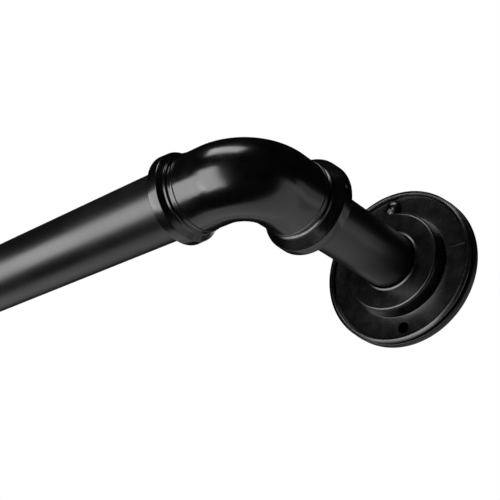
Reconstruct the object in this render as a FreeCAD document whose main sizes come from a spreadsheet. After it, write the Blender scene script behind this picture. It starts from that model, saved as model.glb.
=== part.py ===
import FreeCAD, Part
import math
import os
import Sketcher

# A wrap-around curtain rod: two tubes that telescope, and at each end a banded elbow, a
# standoff tube and a round flange on a wall plate. Frame: X along the rod, Y into the wall,
# Z up, origin at the centre of the right-hand wall plate's back face. Millimetres.

Vector = FreeCAD.Vector
Rotation = FreeCAD.Rotation
Placement = FreeCAD.Placement

doc = FreeCAD.newDocument("CurtainRod")
sheet = doc.addObject("Spreadsheet::Sheet", "Sizes")

SIZES = [
    # overall
    ("closed_span", 711.2, "rod corner to rod corner, pushed fully together"),
    ("reach", 97.3, "wall to rod axis"),
    # tubes
    ("rod_diameter", 25.4, "outer tube"),
    ("rod_wall", 0.8, "outer tube wall"),
    ("slide_gap", 0.8, "radial gap between the outer tube's bore and the thin tube"),
    ("thin_wall", 0.8, "wall of the inner and standoff tubes"),
    ("socket_gap", 0.05, "radial gap of a tube in its socket"),
    ("running_gap", 0.05, "radial gap of a sliding fit"),
    ("closed_gap", 0.5, "mouth ring to left elbow when closed"),
    ("tail_gap", 10, "inner tube's end to the right socket floor when closed"),
    # elbow
    ("elbow_wall", 1.25, "casting round the rod socket"),
    ("bend_margin", 1, "bend radius beyond the body radius"),
    ("floor_step", 2.5, "end of the bend to a socket's floor"),
    ("rod_leg", 7.5, "end of the bend to the rod collar"),
    ("arm_leg", 8, "end of the bend to the standoff collar"),
    ("bead_width", 1.2, "first small ring, next to the body"),
    ("groove_width", 1.3, "groove between the two small rings"),
    ("groove_depth", 0.5, "groove below the body"),
    ("ring_width", 1.2, "second small ring, next to the cone"),
    ("ring_rise", 0.35, "small rings above the body"),
    ("rod_cone_width", 1.5, "step between ring and band at the rod"),
    ("arm_cone_width", 2.7, "step between ring and band at the standoff"),
    ("band_width", 3.9, "wide band along the axis"),
    ("band_taper", 0.15, "how much the band grows towards its rim"),
    ("rod_band_rise", 2.45, "rod band above the body"),
    ("arm_band_rise", 3.6, "standoff band above the body"),
    ("band_round", 0.45, "round on the band's front edge"),
    ("ring_round", 0.25, "rounds on the small rings"),
    # flange
    ("plate_thickness", 3, "wall plate"),
    ("plate_round", 0.5, "wall plate's front edge"),
    ("web_thickness", 1.3, "flange disc under its face"),
    ("hub_rise", 6.5, "hub above the face"),
    ("hub_wall", 9.35, "hub around the standoff tube"),
    ("hub_draft", 0.85, "hub's foot wider than its top"),
    ("hub_round", 1.1, "hub's top edge"),
    ("foot_round", 0.6, "fillet where the hub meets the face"),
    ("mouth_width", 1.2, "raised edge round the hub's mouth, across"),
    ("mouth_rise", 0.6, "raised edge above the hub's top"),
    ("mouth_chamfer", 0.35, "hub mouth"),
    ("head_room", 0.775, "face on each side of a wall screw's head"),
    ("dish_depth", 0.25, "how far the face is hollow"),
    ("rim_width", 2.1, "rim bead across"),
    ("rim_lift", 0.2, "rim bead's underside above the face"),
    ("undercut_depth", 0.15, "neck behind the rim bead, inside the bead's centre"),
    ("rim_setback", 0.25, "rim bead inside the wall plate's edge"),
    ("screw_shift", 0.55, "wall screws outside the middle of the face"),
    ("screw_hole", 4.5, "wall screw hole"),
    ("witness_height", 1.2, "casting line above the flange's centre"),
    ("witness_width", 0.4, "casting line"),
    ("witness_rise", 0.05, "casting line above the edge of the face"),
    ("witness_margin", 1, "casting line clear of the hub"),
    # fasteners
    ("small_grub", 3, "elbow set screw diameter"),
    ("large_grub", 4, "hub set screw diameter"),
    ("grub_gap", 0.05, "radial gap of a set screw in its hole"),
    ("grub_sink", 0.3, "set screw below the surface around it"),
    ("key_share", 0.5, "hexagon key size over set screw diameter"),
    ("key_depth", 1.3, "hexagon socket"),
    ("head_diameter", 7.2, "wall screw head"),
    ("head_edge", 0.9, "straight edge of the head"),
    ("head_dome", 1.7, "dome above the straight edge"),
    ("shank_diameter", 3.4, "plain shank under the head"),
    ("thread_diameter", 4.2, "threaded part"),
    ("screw_length", 32, "wall screw under the head"),
    ("point_length", 4.5, "screw point"),
    ("thread_start", 0.3, "wall plane to the threaded part"),
    ("cross_span", 4.2, "cross recess, end to end"),
    ("cross_width", 1, "cross recess, one arm"),
    ("cross_depth", 1.6, "cross recess"),
    # rod fittings
    ("lip_thickness", 1.5, "mouth ring's lip"),
    ("lip_rise", 0.6, "mouth ring's lip above the tube"),
    ("lip_round", 0.5, "mouth ring's lip edges"),
    ("insert_length", 14, "mouth ring inside the tube"),
    ("glide_length", 25, "glide sleeve"),
    ("glide_setback", 3, "glide sleeve from the inner tube's end"),
    ("glide_slit", 2, "slit that lets the sleeve snap on"),
]

for row, (alias, number, note) in enumerate(SIZES, start=1):
    sheet.set(f"A{row}", alias)
    sheet.set(f"B{row}", str(number))
    sheet.set(f"C{row}", note)
    sheet.setAlias(f"B{row}", alias)
doc.recompute()

# Sizes that follow from others, written once as expressions.
ROD_R = "(Sizes.rod_diameter / 2)"
ROD_BORE_R = "(Sizes.rod_diameter / 2 - Sizes.rod_wall)"
THIN_R = f"({ROD_BORE_R} - Sizes.slide_gap)"
THIN_BORE_R = f"({THIN_R} - Sizes.thin_wall)"
ROD_SOCKET_R = f"({ROD_R} + Sizes.socket_gap)"
ARM_SOCKET_R = f"({THIN_R} + Sizes.socket_gap)"
BODY_R = f"({ROD_SOCKET_R} + Sizes.elbow_wall)"
BEND_R = f"({BODY_R} + Sizes.bend_margin)"
FLOOR = f"({BEND_R} + Sizes.floor_step)"
RINGS = "(Sizes.bead_width + Sizes.groove_width + Sizes.ring_width)"
ROD_COLLAR = f"({BEND_R} + Sizes.rod_leg)"
ARM_COLLAR = f"({BEND_R} + Sizes.arm_leg)"
ROD_RIM = f"({ROD_COLLAR} + {RINGS} + Sizes.rod_cone_width + Sizes.band_width)"
ARM_RIM = f"({ARM_COLLAR} + {RINGS} + Sizes.arm_cone_width + Sizes.band_width)"
ROD_BAND_R = f"({BODY_R} + Sizes.rod_band_rise)"
ARM_BAND_R = f"({BODY_R} + Sizes.arm_band_rise)"
ROD_SCREW_AT = f"({ROD_RIM} - Sizes.band_width / 2)"
ARM_SCREW_AT = f"({ARM_RIM} - Sizes.band_width / 2)"
FACE = "(Sizes.plate_thickness + Sizes.web_thickness)"
HUB_TOP = f"({FACE} + Sizes.hub_rise)"
HUB_R = f"({ARM_SOCKET_R} + Sizes.hub_wall)"
HUB_FOOT_R = f"({HUB_R} + Sizes.hub_draft)"
MOUTH_TOP = f"({HUB_TOP} + Sizes.mouth_rise)"
MOUTH_R = f"({ARM_SOCKET_R} + Sizes.mouth_width)"
FACE_WIDTH = "(Sizes.head_diameter + 2 * Sizes.head_room)"
RIM_IN_R = f"({HUB_FOOT_R} + {FACE_WIDTH})"
RIM_OUT_R = f"({RIM_IN_R} + Sizes.rim_width)"
PLATE_R = f"({RIM_OUT_R} + Sizes.rim_setback)"
SCREW_RING_R = f"(({HUB_FOOT_R} + {RIM_IN_R}) / 2 + Sizes.screw_shift)"
HUB_SCREW_AT = f"({FACE} + Sizes.hub_rise / 2)"
TUBE_MOUTH = f"({ROD_RIM} + Sizes.closed_gap + Sizes.lip_thickness)"

# An end is seated by its corner: the side's sign along X, its corner's X, its turn about Y.
ENDS = {
    "right": ("-", "0", 0),
    "left": ("", "-Sizes.closed_span", 180),
}


def value(text):
    """The number that an expression gives."""
    return float(sheet.evalExpression(text))


def new_body(label):
    body = doc.addObject("PartDesign::Body", label)
    body.Label = label
    return body


def new_sketch(body, name, role):
    """A sketch on one of the body's own origin planes."""
    sketch = body.newObject("Sketcher::SketchObject", f"{body.Name}_{name}")
    plane = next(item for item in body.Origin.OriginFeatures if item.Role == role)
    sketch.AttachmentSupport = [(plane, "")]
    sketch.MapMode = "FlatFace"
    return sketch


def feature(body, kind, name):
    return body.newObject(f"PartDesign::{kind}", f"{body.Name}_{name}")


def pin_point(sketch, geometry, end, across, up):
    """Ties a point to the origin by two expressions."""
    for kind, text in (("DistanceX", across), ("DistanceY", up)):
        rule = sketch.addConstraint(Sketcher.Constraint(kind, geometry, end, value(text)))
        sketch.setExpression(f"Constraints[{rule}]", text)


def outline(sketch, corners, arcs=None):
    """A closed outline through corners given as pairs of expressions.

    arcs maps a side's number to its radius, positive where it bulges to the right of the
    way it runs; a side runs from the corner of its own number to the next."""
    arcs = arcs or {}
    points = [Vector(value(across), value(up), 0) for across, up in corners]
    ends = []
    for side, start in enumerate(points):
        finish = points[(side + 1) % len(points)]
        if side not in arcs:
            sketch.addGeometry(Part.LineSegment(start, finish), False)
            ends.append((1, 2))
            continue
        radius = value(arcs[side][0])
        chord = finish - start
        away = Vector(-chord.y, chord.x, 0).normalize()
        depth = math.sqrt(radius ** 2 - (chord.Length / 2) ** 2)
        centre = (start + finish) / 2 + away * depth * arcs[side][1]
        first, last = (start, finish) if arcs[side][1] > 0 else (finish, start)
        angles = [math.atan2((spot - centre).y, (spot - centre).x) for spot in (first, last)]
        circle = Part.Circle(centre, Vector(0, 0, 1), radius)
        sketch.addGeometry(Part.ArcOfCircle(circle, *angles), False)
        ends.append((1, 2) if arcs[side][1] > 0 else (2, 1))
    for side, (_, finish_end) in enumerate(ends):
        after = (side + 1) % len(points)
        sketch.addConstraint(
            Sketcher.Constraint("Coincident", side, finish_end, after, ends[after][0])
        )
    for side, (across, up) in enumerate(corners):
        pin_point(sketch, side, ends[side][0], across, up)
    for side, (radius, _) in arcs.items():
        rule = sketch.addConstraint(Sketcher.Constraint("Radius", side, value(radius)))
        sketch.setExpression(f"Constraints[{rule}]", radius)


def circle(sketch, radius, across="0", up="0"):
    spot = Vector(value(across), value(up), 0)
    index = sketch.addGeometry(Part.Circle(spot, Vector(0, 0, 1), value(radius)), False)
    pin_point(sketch, index, 3, across, up)
    rule = sketch.addConstraint(Sketcher.Constraint("Radius", index, value(radius)))
    sketch.setExpression(f"Constraints[{rule}]", radius)


def turned(body, name, sketch, axis, kind="Revolution"):
    """A full turn of the sketch about one of its own axes."""
    turn = feature(body, kind, name)
    turn.Profile = sketch
    turn.ReferenceAxis = (sketch, [axis])
    turn.Angle = 360
    doc.recompute()
    return turn


def padded(body, name, sketch, length):
    pad = feature(body, "Pad", name)
    pad.Profile = sketch
    pad.setExpression("Length", length)
    doc.recompute()
    return pad


def pocketed(body, name, sketch, length, reverse=False):
    """A pocket that must remove material."""
    before = body.Shape.Volume
    pocket = feature(body, "Pocket", name)
    pocket.Profile = sketch
    pocket.Reversed = reverse
    pocket.setExpression("Length", length)
    doc.recompute()
    if body.Shape.Volume > before - 0.01:
        raise RuntimeError(f"{pocket.Name} removes nothing")
    return pocket


def circle_edges(body, wanted):
    """Names of the full circles whose (axis place, radius) is in wanted; axis is 0, 1 or 2."""
    names = []
    for number, edge in enumerate(body.Shape.Edges, start=1):
        if not isinstance(edge.Curve, Part.Circle):
            continue
        for axis, place, radius in wanted:
            near = abs(edge.Curve.Center[axis] - place) < 0.01
            along = abs(edge.Curve.Axis[axis]) > 0.99
            if near and along and abs(edge.Curve.Radius - radius) < 0.01:
                names.append(f"Edge{number}")
    if len(names) < len(wanted):
        raise RuntimeError(f"{body.Name}: {len(names)} of {len(wanted)} edges found")
    return names


def rounded(body, name, wanted, size, kind="Fillet"):
    """A fillet or chamfer on the named circles of the body as it stands."""
    names = circle_edges(body, wanted)
    base = body.Tip
    finish = feature(body, kind, name)
    finish.Base = (base, names)
    finish.setExpression("Radius" if kind == "Fillet" else "Size", size)
    doc.recompute()
    return finish


def seat(part, side, inboard, depth, rotation, height="0"):
    """Puts a piece at a distance inboard of its end's corner axis, at a depth along Y."""
    sign, corner, turn = ENDS[side]
    part.Placement = Placement(Vector(), Rotation(Vector(0, 1, 0), turn) * rotation)
    part.setExpression("Placement.Base.x", f"{corner} + {sign}1 * ({inboard})")
    part.setExpression("Placement.Base.y", depth)
    part.setExpression("Placement.Base.z", height)


FACING_ROOM = Rotation(Vector(1, 0, 0), 90)
FACING_WALL = Rotation(Vector(1, 0, 0), -90)
FACING_INBOARD = Rotation(Vector(0, 1, 0), -90)
STRAIGHT = Rotation()


def wall_screw_holes(body, length):
    """The two screw holes, one above and one below the centre."""
    sketch = new_sketch(body, "hole_circles", "XY_Plane")
    for sign in ("", "-"):
        circle(sketch, "Sizes.screw_hole / 2", "0", f"{sign}1 * {SCREW_RING_R}")
    return pocketed(body, "holes", sketch, length, reverse=True)


def make_wall_plate(side):
    body = new_body(f"{side}_wall_plate")
    sketch = new_sketch(body, "disc", "XY_Plane")
    circle(sketch, PLATE_R)
    padded(body, "slab", sketch, "Sizes.plate_thickness")
    wall_screw_holes(body, "2 * Sizes.plate_thickness")
    edge = (2, value("Sizes.plate_thickness"), value(PLATE_R))
    rounded(body, "edge_round", [edge], "Sizes.plate_round")
    seat(body, side, "0", "0", FACING_ROOM)
    return body


def make_flange(side):
    """Disc, hub with a raised mouth and rim bead in one casting, with a slightly hollow face."""
    body = new_body(f"{side}_flange")
    bead = "(Sizes.rim_width / 2)"
    bead_bottom = f"({FACE} + Sizes.rim_lift)"
    bead_middle = f"({bead_bottom} + {bead})"
    bead_top = f"({bead_middle} + {bead})"
    bead_centre = f"({RIM_OUT_R} - {bead})"
    undercut = f"({bead_centre} - Sizes.undercut_depth)"
    dish = f"({FACE_WIDTH} ^ 2 / (8 * Sizes.dish_depth) + Sizes.dish_depth / 2)"
    sketch = new_sketch(body, "section", "XZ_Plane")
    outline(
        sketch,
        [
            (ARM_SOCKET_R, "Sizes.plate_thickness"),
            (undercut, "Sizes.plate_thickness"),
            (undercut, bead_bottom),
            (bead_centre, bead_bottom),
            (RIM_OUT_R, bead_middle),
            (bead_centre, bead_top),
            (RIM_IN_R, bead_middle),
            (RIM_IN_R, FACE),
            (HUB_FOOT_R, FACE),
            (HUB_R, HUB_TOP),
            (MOUTH_R, HUB_TOP),
            (ARM_SOCKET_R, MOUTH_TOP),
        ],
        arcs={3: (bead, 1), 4: (bead, 1), 5: (bead, 1), 7: (dish, -1)},
    )
    turned(body, "casting", sketch, "V_Axis")
    line = new_sketch(body, "witness_outline", "XY_Plane")
    top = "(Sizes.witness_height + Sizes.witness_width / 2)"
    bottom = "(Sizes.witness_height - Sizes.witness_width / 2)"
    start = f"({HUB_FOOT_R} + Sizes.witness_margin)"
    finish = f"({RIM_IN_R} + Sizes.rim_width / 4)"
    outline(line, [(start, bottom), (finish, bottom), (finish, top), (start, top)])
    line.setExpression("AttachmentOffset.Base.z", "Sizes.plate_thickness")
    padded(body, "witness_line", line, "Sizes.web_thickness + Sizes.witness_rise")
    wall_screw_holes(body, f"2 * {HUB_TOP}")
    hole = new_sketch(body, "grub_circle", "YZ_Plane")
    circle(hole, "Sizes.large_grub / 2 + Sizes.grub_gap", "0", HUB_SCREW_AT)
    pocketed(body, "grub_hole", hole, f"2 * {HUB_R}")
    rounded(body, "hub_edge", [(2, value(HUB_TOP), value(HUB_R))], "Sizes.hub_round")
    rounded(body, "hub_foot", [(2, value(FACE), value(HUB_FOOT_R))], "Sizes.foot_round")
    mouth = [(2, value(MOUTH_TOP), value(ARM_SOCKET_R))]
    rounded(body, "hub_mouth", mouth, "Sizes.mouth_chamfer", "Chamfer")
    seat(body, side, "0", "0", FACING_ROOM)
    return body


def make_tube(label, radius, bore, length):
    body = new_body(label)
    sketch = new_sketch(body, "ring", "XY_Plane")
    circle(sketch, radius)
    circle(sketch, bore)
    padded(body, "wall", sketch, length)
    return body


def make_standoff_tube(side):
    """From the wall plate through the hub to the elbow's socket floor."""
    length = f"Sizes.reach - Sizes.plate_thickness - {FLOOR}"
    tube = make_tube(f"{side}_standoff_tube", THIN_R, THIN_BORE_R, length)
    seat(tube, side, "0", "-Sizes.plate_thickness", FACING_ROOM)
    return tube


def elbow_path(body):
    """Rod leg along -X, a quarter bend, standoff leg along +Y."""
    path = new_sketch(body, "path", "XY_Plane")
    bend = value(BEND_R)
    start, turn_in = Vector(-value(ROD_RIM), 0, 0), Vector(-bend, 0, 0)
    turn_out, finish = Vector(0, bend, 0), Vector(0, value(ARM_RIM), 0)
    path.addGeometry(Part.LineSegment(start, turn_in), False)
    circle_of_bend = Part.Circle(Vector(-bend, bend, 0), Vector(0, 0, 1), bend)
    path.addGeometry(Part.ArcOfCircle(circle_of_bend, -math.pi / 2, 0), False)
    path.addGeometry(Part.LineSegment(turn_out, finish), False)
    path.addConstraint(Sketcher.Constraint("Coincident", 0, 2, 1, 1))
    path.addConstraint(Sketcher.Constraint("Coincident", 1, 2, 2, 1))
    pin_point(path, 0, 1, f"-1 * {ROD_RIM}", "0")
    pin_point(path, 0, 2, f"-1 * {BEND_R}", "0")
    pin_point(path, 1, 2, "0", BEND_R)
    pin_point(path, 2, 2, "0", ARM_RIM)
    rule = path.addConstraint(Sketcher.Constraint("Radius", 1, bend))
    path.setExpression(f"Constraints[{rule}]", BEND_R)
    doc.recompute()
    return path


def piped(body, kind, name, path, radius):
    section = new_sketch(body, f"{name}_section", "YZ_Plane")
    section.setExpression("AttachmentOffset.Base.z", f"-1 * {ROD_RIM}")
    circle(section, radius)
    pipe = feature(body, kind, name)
    pipe.Profile = section
    pipe.Spine = path
    doc.recompute()
    return pipe


def collar(body, name, along_x, start, cone_width, rise):
    """Two small rings with a groove between, a cone and a wide band round one mouth."""

    def spot(place, radius):
        return (f"-1 * ({place})", radius) if along_x else (f"-1 * ({radius})", place)

    axis = "H_Axis" if along_x else "V_Axis"
    groove = f"({start} + Sizes.bead_width)"
    ring = f"({groove} + Sizes.groove_width)"
    cone = f"({ring} + Sizes.ring_width)"
    band = f"({cone} + {cone_width})"
    rim = f"({band} + Sizes.band_width)"
    inside = f"({BODY_R} - Sizes.elbow_wall / 2)"
    ring_radius = f"({BODY_R} + Sizes.ring_rise)"
    band_radius = f"({BODY_R} + {rise})"
    front_radius = f"({band_radius} - Sizes.band_taper)"
    section = new_sketch(body, f"{name}_section", "XY_Plane")
    corners = [
        (start, inside), (rim, inside), (rim, band_radius),
        (band, front_radius), (cone, ring_radius), (start, ring_radius),
    ]
    outline(section, [spot(place, radius) for place, radius in corners])
    turned(body, f"{name}_rings", section, axis)
    cut = new_sketch(body, f"{name}_groove_section", "XY_Plane")
    bottom = f"({BODY_R} - Sizes.groove_depth)"
    above = f"({BODY_R} + Sizes.groove_depth)"
    corners = [(groove, bottom), (ring, bottom), (ring, above), (groove, above)]
    outline(cut, [spot(place, radius) for place, radius in corners])
    turned(body, f"{name}_groove", cut, axis, "Groove")

    def edge(place, radius):
        return (0, -value(place), value(radius)) if along_x else (1, value(place), value(radius))

    rounded(body, f"{name}_front_round", [edge(band, front_radius)], "Sizes.band_round")
    small = [edge(place, ring_radius) for place in (start, groove, ring)]
    rounded(body, f"{name}_small_rounds", small, "Sizes.ring_round")


def socket(body, name, along_x, rim, radius):
    """A counterbore for a tube, from the mouth down to its floor."""
    sketch = new_sketch(body, f"{name}_section", "XY_Plane")
    if along_x:
        left, right, low, high = f"-1 * {rim}", f"-1 * {FLOOR}", "0", radius
    else:
        left, right, low, high = "0", radius, FLOOR, rim
    outline(sketch, [(left, low), (right, low), (right, high), (left, high)])
    before = body.Shape.Volume
    turned(body, name, sketch, "H_Axis" if along_x else "V_Axis", "Groove")
    if body.Shape.Volume > before - 0.01:
        raise RuntimeError(f"{name} removes nothing")


def make_elbow(side):
    body = new_body(f"{side}_elbow")
    path = elbow_path(body)
    piped(body, "AdditivePipe", "bend", path, BODY_R)
    rod_cone, arm_cone = "Sizes.rod_cone_width", "Sizes.arm_cone_width"
    collar(body, "rod_collar", True, ROD_COLLAR, rod_cone, "Sizes.rod_band_rise")
    collar(body, "arm_collar", False, ARM_COLLAR, arm_cone, "Sizes.arm_band_rise")
    piped(body, "SubtractivePipe", "passage", path, THIN_BORE_R)
    socket(body, "rod_socket", True, ROD_RIM, ROD_SOCKET_R)
    socket(body, "arm_socket", False, ARM_RIM, ARM_SOCKET_R)
    rod_hole = new_sketch(body, "rod_grub_circle", "XZ_Plane")
    grub_hole = "Sizes.small_grub / 2 + Sizes.grub_gap"
    circle(rod_hole, grub_hole, f"-1 * {ROD_SCREW_AT}", "0")
    pocketed(body, "rod_grub_hole", rod_hole, f"2 * {ROD_BAND_R}")
    arm_hole = new_sketch(body, "arm_grub_circle", "YZ_Plane")
    circle(arm_hole, grub_hole, ARM_SCREW_AT, "0")
    pocketed(body, "arm_grub_hole", arm_hole, f"2 * {ARM_BAND_R}")
    seat(body, side, "0", "-Sizes.reach", STRAIGHT)
    return body


def make_grub(label, diameter, tip, surface):
    """A set screw along its own Z, from the tube it grips to just below the surface."""
    length = f"({surface} - Sizes.grub_sink - {tip})"
    point = f"({diameter} / 4)"
    shank = doc.addObject("Part::Cylinder", f"{label}_shank")
    shank.setExpression("Radius", f"{diameter} / 2")
    shank.setExpression("Height", f"{length} - {point}")
    shank.setExpression("Placement.Base.z", point)
    cone = doc.addObject("Part::Cone", f"{label}_point")
    cone.setExpression("Radius1", f"{diameter} / 4")
    cone.setExpression("Radius2", f"{diameter} / 2")
    cone.setExpression("Height", point)
    blank = doc.addObject("Part::Fuse", f"{label}_blank")
    blank.Base, blank.Tool = shank, cone
    key = doc.addObject("Part::Prism", f"{label}_key")
    key.Polygon = 6
    key.setExpression("Circumradius", f"{diameter} * Sizes.key_share / sqrt(3)")
    key.setExpression("Height", "2 * Sizes.key_depth")
    key.setExpression("Placement.Base.z", f"{length} - Sizes.key_depth")
    screw = doc.addObject("Part::Cut", label)
    screw.Base, screw.Tool = blank, key
    screw.Label = label
    doc.recompute()
    return screw


def make_rod_set_screw(side, grip):
    """In the elbow's rod band, from behind; grip is the radius of the tube it presses on."""
    screw = make_grub(f"{side}_rod_set_screw", "Sizes.small_grub", grip, ROD_BAND_R)
    seat(screw, side, ROD_SCREW_AT, f"-Sizes.reach + {grip}", FACING_WALL)
    return screw


def make_arm_set_screw(side):
    screw = make_grub(f"{side}_arm_set_screw", "Sizes.small_grub", THIN_R, ARM_BAND_R)
    seat(screw, side, THIN_R, f"-Sizes.reach + {ARM_SCREW_AT}", FACING_INBOARD)
    return screw


def make_flange_set_screw(side):
    screw = make_grub(f"{side}_flange_set_screw", "Sizes.large_grub", THIN_R, HUB_R)
    seat(screw, side, THIN_R, f"-1 * {HUB_SCREW_AT}", FACING_INBOARD)
    return screw


def make_wall_screw(side):
    """Pan head screw in the upper hole, its point standing out behind the wall plate."""
    body = new_body(f"{side}_wall_screw")
    head = "(Sizes.head_diameter / 2)"
    shank = "(Sizes.shank_diameter / 2)"
    thread = "(Sizes.thread_diameter / 2)"
    thread_top = f"(-1 * ({FACE} + Sizes.thread_start))"
    thread_end = "(Sizes.point_length - Sizes.screw_length)"
    dome = f"({head} ^ 2 / (2 * Sizes.head_dome) + Sizes.head_dome / 2)"
    sketch = new_sketch(body, "section", "XZ_Plane")
    outline(
        sketch,
        [
            ("0", "-1 * Sizes.screw_length"),
            (thread, thread_end),
            (thread, thread_top),
            (shank, thread_top),
            (shank, "0"),
            (head, "0"),
            (head, "Sizes.head_edge"),
            ("0", "Sizes.head_edge + Sizes.head_dome"),
        ],
        arcs={6: (dome, 1)},
    )
    turned(body, "turning", sketch, "V_Axis")
    cross = new_sketch(body, "cross_outline", "XY_Plane")
    long, short = "Sizes.cross_span / 2", "Sizes.cross_width / 2"
    steps = [(long, short), (short, short), (short, long)]
    corners = []
    for quarter in range(4):
        for across, up in steps:
            x, y = (across, up) if quarter % 2 == 0 else (up, across)
            x_sign = "-1 * " if quarter in (1, 2) else ""
            y_sign = "-1 * " if quarter in (2, 3) else ""
            corners.append((f"{x_sign}{x}", f"{y_sign}{y}"))
    outline(cross, corners)
    cross.setExpression(
        "AttachmentOffset.Base.z", "Sizes.head_edge + Sizes.head_dome - Sizes.cross_depth"
    )
    pocketed(body, "cross_recess", cross, "2 * Sizes.cross_depth", reverse=True)
    seat(body, side, "0", f"-1 * {FACE}", FACING_ROOM, SCREW_RING_R)
    return body


def make_outer_tube():
    length = f"Sizes.closed_span - {FLOOR} - {TUBE_MOUTH}"
    tube = make_tube("outer_tube", ROD_R, ROD_BORE_R, length)
    seat(tube, "right", FLOOR, "-Sizes.reach", FACING_INBOARD)
    return tube


def make_mouth_ring():
    """A sleeve in the outer tube's mouth with a lip over the tube's end."""
    body = new_body("mouth_ring")
    bore = f"({THIN_R} + Sizes.running_gap)"
    insert = f"({ROD_BORE_R} - Sizes.socket_gap)"
    lip = f"({ROD_R} + Sizes.lip_rise)"
    sketch = new_sketch(body, "section", "XZ_Plane")
    outline(
        sketch,
        [
            (bore, "0"),
            (lip, "0"),
            (lip, "Sizes.lip_thickness"),
            (insert, "Sizes.lip_thickness"),
            (insert, "Sizes.lip_thickness + Sizes.insert_length"),
            (bore, "Sizes.lip_thickness + Sizes.insert_length"),
        ],
    )
    turned(body, "moulding", sketch, "V_Axis")
    edges = [(2, place, value(lip)) for place in (0, value("Sizes.lip_thickness"))]
    rounded(body, "lip_edges", edges, "Sizes.lip_round")
    seat(body, "left", f"{ROD_RIM} + Sizes.closed_gap", "-Sizes.reach", FACING_INBOARD)
    return body


def make_inner_tube():
    length = f"Sizes.closed_span - 2 * {FLOOR} - Sizes.tail_gap"
    tube = make_tube("inner_tube", THIN_R, THIN_BORE_R, length)
    seat(tube, "left", FLOOR, "-Sizes.reach", FACING_INBOARD)
    return tube


def make_glide_sleeve():
    """A split ring that fills the gap between the two tubes."""
    outside = f"({ROD_BORE_R} - Sizes.running_gap)"
    inside = f"({THIN_R} + Sizes.running_gap)"
    body = make_tube("glide_sleeve", outside, inside, "Sizes.glide_length")
    slit = new_sketch(body, "slit_outline", "XY_Plane")
    half = "Sizes.glide_slit / 2"
    outline(
        slit,
        [("0", f"-{half}"), (f"2 * {outside}", f"-{half}"), (f"2 * {outside}", half), ("0", half)],
    )
    pocketed(body, "slit", slit, "2 * Sizes.glide_length", reverse=True)
    inboard = f"{FLOOR} + Sizes.tail_gap + Sizes.glide_setback"
    seat(body, "right", inboard, "-Sizes.reach", FACING_INBOARD)
    return body


def make_reducer_bush():
    """Fills the left elbow's rod socket round the thin tube, with a hole for the set screw."""
    length = f"{ROD_RIM} - {FLOOR}"
    body = make_tube("left_reducer_bush", ROD_R, ARM_SOCKET_R, length)
    hole = new_sketch(body, "grub_circle", "YZ_Plane")
    circle(hole, "Sizes.small_grub / 2 + Sizes.grub_gap", "0", f"{ROD_SCREW_AT} - {FLOOR}")
    pocketed(body, "grub_hole", hole, f"2 * {ROD_R}", reverse=True)
    turn = FACING_INBOARD * Rotation(Vector(0, 0, 1), 90)
    seat(body, "left", FLOOR, "-Sizes.reach", turn)
    return body


def make_end(side, rod_grip):
    """The eight pieces that hold one end of the rod on the wall."""
    return [
        make_wall_plate(side),
        make_flange(side),
        make_flange_set_screw(side),
        make_standoff_tube(side),
        make_elbow(side),
        make_arm_set_screw(side),
        make_rod_set_screw(side, rod_grip),
        make_wall_screw(side),
    ]


def check(nodes):
    for item in doc.Objects:
        if {"Invalid", "Error"} & set(item.State):
            raise RuntimeError(f"{item.Name} failed: {item.State}")
    for node in nodes:
        if node.Shape.isNull() or not node.Shape.isValid() or len(node.Shape.Solids) != 1:
            raise RuntimeError(f"{node.Label} is not one valid solid")


def write(nodes):
    os.makedirs("parts", exist_ok=True)
    for node in nodes:
        node.Shape.exportStep(f"parts/{node.Label}.step")
        box = node.Shape.optimalBoundingBox(False, False)
        corners = [box.XMin, box.YMin, box.ZMin, box.XMax, box.YMax, box.ZMax]
        print(node.Label, round(node.Shape.Volume, 1), [round(corner, 2) for corner in corners])


nodes = make_end("right", ROD_R)
nodes += [make_outer_tube(), make_mouth_ring(), make_glide_sleeve(), make_inner_tube()]
nodes += [make_reducer_bush()]
nodes += make_end("left", THIN_R)
doc.recompute()
check(nodes)
write(nodes)
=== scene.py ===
import math

import bpy
from bpy.props import FloatProperty, FloatVectorProperty, IntProperty, PointerProperty
from mathutils import Matrix, Vector


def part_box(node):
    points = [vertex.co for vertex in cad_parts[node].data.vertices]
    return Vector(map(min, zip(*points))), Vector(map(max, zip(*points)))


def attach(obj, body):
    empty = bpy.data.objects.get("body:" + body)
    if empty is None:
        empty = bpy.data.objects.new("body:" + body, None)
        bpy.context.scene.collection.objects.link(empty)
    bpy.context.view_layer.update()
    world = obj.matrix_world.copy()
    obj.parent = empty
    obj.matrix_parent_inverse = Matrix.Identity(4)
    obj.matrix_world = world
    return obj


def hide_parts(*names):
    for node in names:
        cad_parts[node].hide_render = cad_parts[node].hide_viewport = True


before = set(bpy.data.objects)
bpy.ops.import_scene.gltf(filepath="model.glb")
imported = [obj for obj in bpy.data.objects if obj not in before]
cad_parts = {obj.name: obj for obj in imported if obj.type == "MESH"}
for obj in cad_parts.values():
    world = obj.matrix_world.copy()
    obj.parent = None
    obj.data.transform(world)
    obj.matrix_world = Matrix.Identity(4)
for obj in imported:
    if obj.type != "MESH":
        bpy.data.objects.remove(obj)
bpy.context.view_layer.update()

bl_info = {
    "name": "Curtain Rod",
    "version": (1, 0, 0),
    "blender": (4, 5, 0),
    "location": "View3D > Sidebar > Curtain Rod",
    "description": "Models and finishes a telescoping curtain rod with its wall brackets",
    "category": "Add Mesh",
}

# The frame: X along the rod, Y into the wall, Z up, metres. The right end stays, the left end
# is the right end turned half round about Y, and slides and turns with the inner tube.
MM = 0.001
FIT = 0.05 * MM
ORIGIN = Vector((0, 0, 0))
ALONG = Vector((1, 0, 0))
TO_WALL = Vector((0, 1, 0))
UPRIGHT = Vector((0, 0, 1))
BODY_OF = {"right": "fixed_end", "left": "sliding_end"}


def box_size(node):
    low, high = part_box(node)
    return high - low


def box_middle(node):
    low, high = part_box(node)
    return (low + high) / 2


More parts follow.
